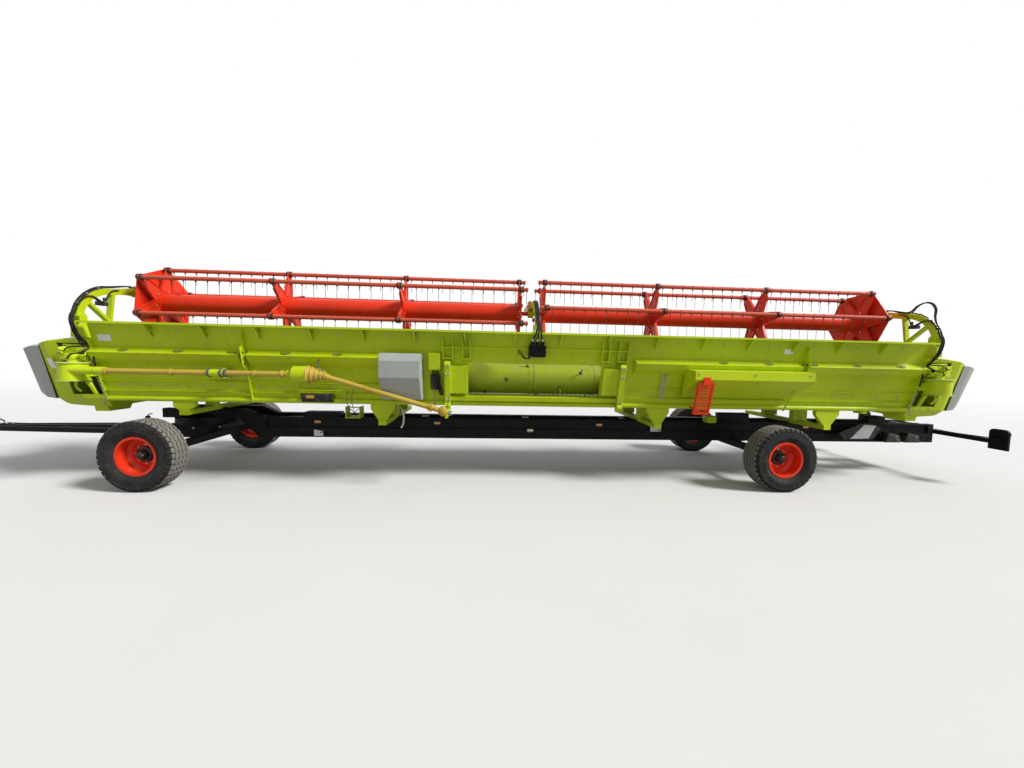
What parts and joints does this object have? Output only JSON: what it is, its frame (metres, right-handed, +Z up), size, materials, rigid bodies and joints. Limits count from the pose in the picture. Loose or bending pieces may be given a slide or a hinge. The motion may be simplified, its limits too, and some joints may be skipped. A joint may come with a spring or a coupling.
{
  "type": "combine harvester grain header on its transport trailer",
  "caption": "Grain header of a combine harvester with split tined reel, auger and cutterbar, standing on a steerable trailer that carries it on the road",
  "frame": {"origin": "on the ground under the middle of the whole", "axes": "+Z up, X along the header and the trailer, +X to the trailer's rear, +Y to the header's cutting side"},
  "size_m": [14.72, 2.5, 2.8351],
  "materials": {
    "lime_paint": "sun-bleached lime green paint",
    "green_paint": "green paint in the shade, scuffed by crop",
    "red_paint": "bright red paint",
    "black_paint": "satin black paint",
    "cover_grey": "light grey moulded panel",
    "guard_yellow": "yellow plastic shaft guard",
    "steel": "worn bright steel",
    "chrome": "chromed piston rod",
    "tyre_rubber": "dusty black rubber"
  },
  "bodies": {
    "trailer": {"trailer_frame": "black_paint", "rear_axle": "black_paint", "light_bar": "black_paint", "header_supports": "lime_paint", "rear_wall": "lime_paint", "octagon_beams": "lime_paint", "feeder_frame": "lime_paint", "header_floor": "green_paint", "end_box_left": "lime_paint", "end_box_right": "lime_paint", "dividers": "lime_paint", "cutterbar_guards": "green_paint", "drive_line": "guard_yellow", "shaft_bearings": "lime_paint", "knife_gearboxes": "lime_paint", "guard_cover": "cover_grey", "side_shelf": "lime_paint", "folding_guard": "red_paint", "coupler_block": "black_paint"},
    "bogie": {"front_bogie": "black_paint"},
    "towing_bar": {"drawbar": "black_paint"},
    "wheel_front_near": {"tyre_front_near": "tyre_rubber", "rim_front_near": "red_paint"},
    "wheel_front_far": {"tyre_front_far": "tyre_rubber", "rim_front_far": "red_paint"},
    "wheel_rear_near": {"tyre_rear_near": "tyre_rubber", "rim_rear_near": "red_paint"},
    "wheel_rear_far": {"tyre_rear_far": "tyre_rubber", "rim_rear_far": "red_paint"},
    "auger_body": {"auger": "green_paint"},
    "knife_body": {"knife": "steel"},
    "door_left": {"cover_left": "cover_grey"},
    "door_right": {"cover_right": "cover_grey"},
    "arms": {"reel_arms": "lime_paint"},
    "carriages": {"reel_carriages": "lime_paint"},
    "barrels": {"lift_barrels": "lime_paint"},
    "rods": {"lift_rods": "chrome"},
    "reel_half_left": {"reel_left": "red_paint"},
    "reel_half_right": {"reel_right": "red_paint"},
    "control_ring_left": {"ring_left": "red_paint"},
    "control_ring_right": {"ring_right": "red_paint"},
    "tines_left_1": {"bar_left_1": "red_paint"},
    "tines_left_2": {"bar_left_2": "red_paint"},
    "tines_left_3": {"bar_left_3": "red_paint"},
    "tines_left_4": {"bar_left_4": "red_paint"},
    "tines_left_5": {"bar_left_5": "red_paint"},
    "tines_left_6": {"bar_left_6": "red_paint"},
    "tines_right_1": {"bar_right_1": "red_paint"},
    "tines_right_2": {"bar_right_2": "red_paint"},
    "tines_right_3": {"bar_right_3": "red_paint"},
    "tines_right_4": {"bar_right_4": "red_paint"},
    "tines_right_5": {"bar_right_5": "red_paint"},
    "tines_right_6": {"bar_right_6": "red_paint"}
  },
  "joints": [
    {"name": "steering", "type": "hinge", "parent": "trailer", "child": "bogie", "pos_m": [-3.97, 0, 0.6], "axis": [0, 0, 1], "range_deg": [-40, 40]},
    {"name": "drawbar_hinge", "type": "hinge", "parent": "bogie", "child": "towing_bar", "pos_m": [-4.59, 0, 0.52], "axis": [0, 1, 0], "range_deg": [-10, 20]},
    {"name": "roll_front_near", "type": "hinge", "parent": "bogie", "child": "wheel_front_near", "pos_m": [-3.97, -1.105, 0.423], "axis": [0, 1, 0], "continuous": true},
    {"name": "roll_front_far", "type": "hinge", "parent": "bogie", "child": "wheel_front_far", "pos_m": [-3.97, 1.105, 0.423], "axis": [0, 1, 0], "continuous": true},
    {"name": "roll_rear_near", "type": "hinge", "parent": "trailer", "child": "wheel_rear_near", "pos_m": [3.97, -1.105, 0.423], "axis": [0, 1, 0], "continuous": true},
    {"name": "roll_rear_far", "type": "hinge", "parent": "trailer", "child": "wheel_rear_far", "pos_m": [3.97, 1.105, 0.423], "axis": [0, 1, 0], "continuous": true},
    {"name": "auger_turn", "type": "hinge", "parent": "trailer", "child": "auger_body", "pos_m": [0.72, -0.535, 1.38], "axis": [1, 0, 0], "continuous": true},
    {"name": "knife_stroke", "type": "slide", "parent": "trailer", "child": "knife_body", "axis": [1, 0, 0], "range_m": [-0.038, 0.038]},
    {"name": "cover_left_hinge", "type": "hinge", "parent": "trailer", "child": "door_left", "pos_m": [-5.198, 0.41, 1.2], "axis": [0, 0, 1], "range_deg": [-100, 0]},
    {"name": "cover_right_hinge", "type": "hinge", "parent": "trailer", "child": "door_right", "pos_m": [6.638, 0.41, 1.2], "axis": [0, 0, 1], "range_deg": [0, 100]},
    {"name": "reel_lift", "type": "hinge", "parent": "trailer", "child": "arms", "pos_m": [0.72, -1, 2.045], "axis": [1, 0, 0], "range_deg": [-23, 0]},
    {"name": "reel_reach", "type": "slide", "parent": "arms", "child": "carriages", "axis": [0, 1, 0], "range_m": [0, 0.505]},
    {"name": "reel_turn_left", "type": "hinge", "parent": "carriages", "child": "reel_half_left", "pos_m": [0.72, -0.17, 2.325], "axis": [1, 0, 0], "continuous": true},
    {"name": "ring_turn_left", "type": "hinge", "parent": "carriages", "child": "control_ring_left", "pos_m": [0.72, -0.11, 2.325], "axis": [1, 0, 0], "continuous": true},
    {"name": "tine_bar_left_1", "type": "hinge", "parent": "reel_half_left", "child": "tines_left_1", "pos_m": [0.72, -0.11028, 2.79119], "axis": [1, 0, 0], "continuous": true},
    {"name": "tine_bar_left_2", "type": "hinge", "parent": "reel_half_left", "child": "tines_left_2", "pos_m": [0.72, 0.26359, 2.50638], "axis": [1, 0, 0], "continuous": true},
    {"name": "tine_bar_left_3", "type": "hinge", "parent": "reel_half_left", "child": "tines_left_3", "pos_m": [0.72, 0.20387, 2.04019], "axis": [1, 0, 0], "continuous": true},
    {"name": "tine_bar_left_4", "type": "hinge", "parent": "reel_half_left", "child": "tines_left_4", "pos_m": [0.72, -0.22972, 1.85881], "axis": [1, 0, 0], "continuous": true},
    {"name": "tine_bar_left_5", "type": "hinge", "parent": "reel_half_left", "child": "tines_left_5", "pos_m": [0.72, -0.60359, 2.14362], "axis": [1, 0, 0], "continuous": true},
    {"name": "tine_bar_left_6", "type": "hinge", "parent": "reel_half_left", "child": "tines_left_6", "pos_m": [0.72, -0.54387, 2.60982], "axis": [1, 0, 0], "continuous": true},
    {"name": "reel_turn_right", "type": "hinge", "parent": "carriages", "child": "reel_half_right", "pos_m": [0.72, -0.17, 2.325], "axis": [1, 0, 0], "continuous": true},
    {"name": "ring_turn_right", "type": "hinge", "parent": "carriages", "child": "control_ring_right", "pos_m": [0.72, -0.11, 2.325], "axis": [1, 0, 0], "continuous": true},
    {"name": "tine_bar_right_1", "type": "hinge", "parent": "reel_half_right", "child": "tines_right_1", "pos_m": [0.72, 0.09486, 2.71327], "axis": [1, 0, 0], "continuous": true},
    {"name": "tine_bar_right_2", "type": "hinge", "parent": "reel_half_right", "child": "tines_right_2", "pos_m": [0.72, 0.29868, 2.28976], "axis": [1, 0, 0], "continuous": true},
    {"name": "tine_bar_right_3", "type": "hinge", "parent": "reel_half_right", "child": "tines_right_3", "pos_m": [0.72, 0.03382, 1.90149], "axis": [1, 0, 0], "continuous": true},
    {"name": "tine_bar_right_4", "type": "hinge", "parent": "reel_half_right", "child": "tines_right_4", "pos_m": [0.72, -0.43486, 1.93673], "axis": [1, 0, 0], "continuous": true},
    {"name": "tine_bar_right_5", "type": "hinge", "parent": "reel_half_right", "child": "tines_right_5", "pos_m": [0.72, -0.63868, 2.36024], "axis": [1, 0, 0], "continuous": true},
    {"name": "tine_bar_right_6", "type": "hinge", "parent": "reel_half_right", "child": "tines_right_6", "pos_m": [0.72, -0.37382, 2.74851], "axis": [1, 0, 0], "continuous": true},
    {"name": "lift_barrel_tilt", "type": "hinge", "parent": "trailer", "child": "barrels", "pos_m": [0.72, -0.62, 1.3], "axis": [1, 0, 0], "range_deg": [0, 5.2]},
    {"name": "lift_rod_slide", "type": "slide", "parent": "barrels", "child": "rods", "axis": [0, -0.0507, 0.9987], "range_m": [-0.13, 0]}
  ],
  "couplings": [
    {"joint": "reel_reach", "follows": "reel_lift", "m_per_rad": -1.2455},
    {"joint": "lift_barrel_tilt", "follows": "reel_lift", "ratio": -0.2197},
    {"joint": "lift_rod_slide", "follows": "reel_lift", "m_per_rad": 0.3181},
    {"joint": "ring_turn_left", "follows": "reel_turn_left", "ratio": 1},
    {"joint": "tine_bar_left_1", "follows": "reel_turn_left", "ratio": -1},
    {"joint": "tine_bar_left_2", "follows": "reel_turn_left", "ratio": -1},
    {"joint": "tine_bar_left_3", "follows": "reel_turn_left", "ratio": -1},
    {"joint": "tine_bar_left_4", "follows": "reel_turn_left", "ratio": -1},
    {"joint": "tine_bar_left_5", "follows": "reel_turn_left", "ratio": -1},
    {"joint": "tine_bar_left_6", "follows": "reel_turn_left", "ratio": -1},
    {"joint": "ring_turn_right", "follows": "reel_turn_right", "ratio": 1},
    {"joint": "tine_bar_right_1", "follows": "reel_turn_right", "ratio": -1},
    {"joint": "tine_bar_right_2", "follows": "reel_turn_right", "ratio": -1},
    {"joint": "tine_bar_right_3", "follows": "reel_turn_right", "ratio": -1},
    {"joint": "tine_bar_right_4", "follows": "reel_turn_right", "ratio": -1},
    {"joint": "tine_bar_right_5", "follows": "reel_turn_right", "ratio": -1},
    {"joint": "tine_bar_right_6", "follows": "reel_turn_right", "ratio": -1}
  ]
}
